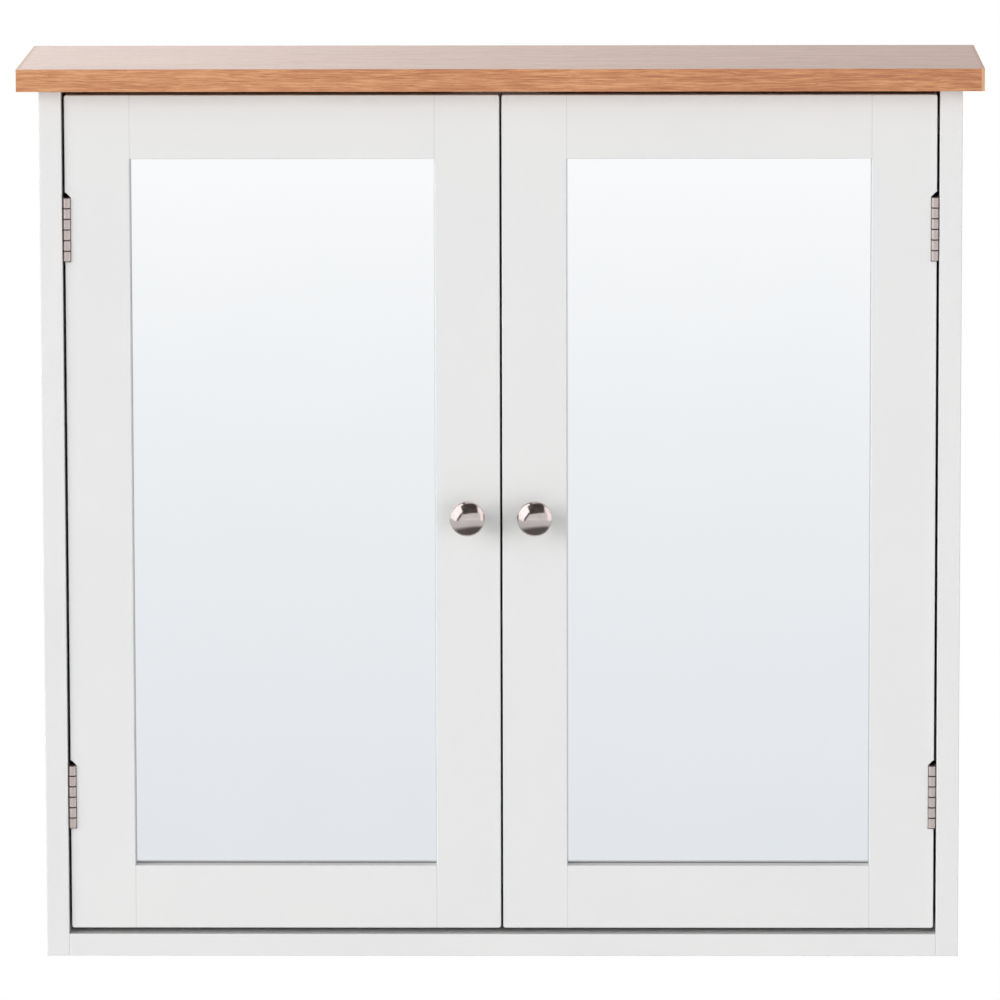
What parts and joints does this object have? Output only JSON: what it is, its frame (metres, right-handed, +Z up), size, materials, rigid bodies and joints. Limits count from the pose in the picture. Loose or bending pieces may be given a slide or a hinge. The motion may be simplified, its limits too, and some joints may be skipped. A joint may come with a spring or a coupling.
{
  "type": "bathroom mirror cabinet",
  "caption": "Wall-hung white bathroom cabinet with a wood-effect top, framed mirror doors on butt hinges, round knobs and loose shelves inside.",
  "frame": {"origin": "on the wall plane (the cabinet's back), midway between the two wall screw holes", "axes": "+X to the right of someone facing the doors, +Y from the room into the wall, +Z up"},
  "size_m": [0.6, 0.1715, 0.5628],
  "materials": {
    "white_paint": "satin white paint over fibreboard",
    "oak_laminate": "satin wood-effect laminate",
    "mirror_glass": "silvered glass",
    "hardboard": "plain hardboard",
    "white_hardboard": "white faced hardboard",
    "beech": "plain turned beech",
    "satin_nickel": "satin nickel plate",
    "plated_steel": "bright zinc plate",
    "zinc_alloy": "plain die-cast zinc",
    "white_plastic": "moulded white plastic",
    "ferrite": "sintered ferrite"
  },
  "bodies": {
    "cabinet": {"top_board": "oak_laminate", "top_edging": "oak_laminate", "left_side_panel": "white_paint", "right_side_panel": "white_paint", "bottom_board": "white_paint", "back_panel": "white_hardboard", "hanging_rail": "white_paint", "cam_locks": "zinc_alloy", "cam_bolts": "plated_steel", "cam_caps": "white_plastic", "carcass_dowels": "beech", "back_panel_screws": "plated_steel", "shelf_pins": "satin_nickel", "catch_housing": "white_plastic", "catch_magnets": "ferrite", "catch_pole_plates": "plated_steel", "catch_screws": "plated_steel", "left_upper_hinge_side_leaf": "satin_nickel", "left_lower_hinge_side_leaf": "satin_nickel", "right_upper_hinge_side_leaf": "satin_nickel", "right_lower_hinge_side_leaf": "satin_nickel", "left_hinge_pins": "satin_nickel", "right_hinge_pins": "satin_nickel", "left_side_hinge_screws": "plated_steel", "right_side_hinge_screws": "plated_steel"},
    "left_door": {"left_door_hinge_stile": "white_paint", "left_door_meeting_stile": "white_paint", "left_door_top_rail": "white_paint", "left_door_bottom_rail": "white_paint", "left_door_mirror": "mirror_glass", "left_door_backing": "hardboard", "left_door_backing_screws": "plated_steel", "left_door_dowels": "beech", "left_door_knob": "satin_nickel", "left_door_knob_screw": "plated_steel", "left_door_strike_plate": "plated_steel", "left_door_strike_screw": "plated_steel", "left_door_hinge_screws": "plated_steel", "left_upper_hinge_door_leaf": "satin_nickel", "left_lower_hinge_door_leaf": "satin_nickel"},
    "right_door": {"right_door_hinge_stile": "white_paint", "right_door_meeting_stile": "white_paint", "right_door_top_rail": "white_paint", "right_door_bottom_rail": "white_paint", "right_door_mirror": "mirror_glass", "right_door_backing": "hardboard", "right_door_backing_screws": "plated_steel", "right_door_dowels": "beech", "right_door_knob": "satin_nickel", "right_door_knob_screw": "plated_steel", "right_door_strike_plate": "plated_steel", "right_door_strike_screw": "plated_steel", "right_door_hinge_screws": "plated_steel", "right_upper_hinge_door_leaf": "satin_nickel", "right_lower_hinge_door_leaf": "satin_nickel"},
    "upper_shelf": {"upper_shelf": "white_paint"},
    "lower_shelf": {"lower_shelf": "white_paint"}
  },
  "joints": [
    {"name": "left_door_hinge", "type": "hinge", "parent": "cabinet", "child": "left_door", "pos_m": [-0.27035, -0.1475, -0.25], "axis": [0, 0, -1], "range_deg": [0, 115]},
    {"name": "right_door_hinge", "type": "hinge", "parent": "cabinet", "child": "right_door", "pos_m": [0.27035, -0.1475, -0.25], "axis": [0, 0, 1], "range_deg": [0, 115]},
    {"name": "upper_shelf_lift", "type": "slide", "parent": "cabinet", "child": "upper_shelf", "axis": [0, 0, 1], "range_m": [0, 0.03]},
    {"name": "lower_shelf_lift", "type": "slide", "parent": "cabinet", "child": "lower_shelf", "axis": [0, 0, 1], "range_m": [0, 0.03]}
  ]
}
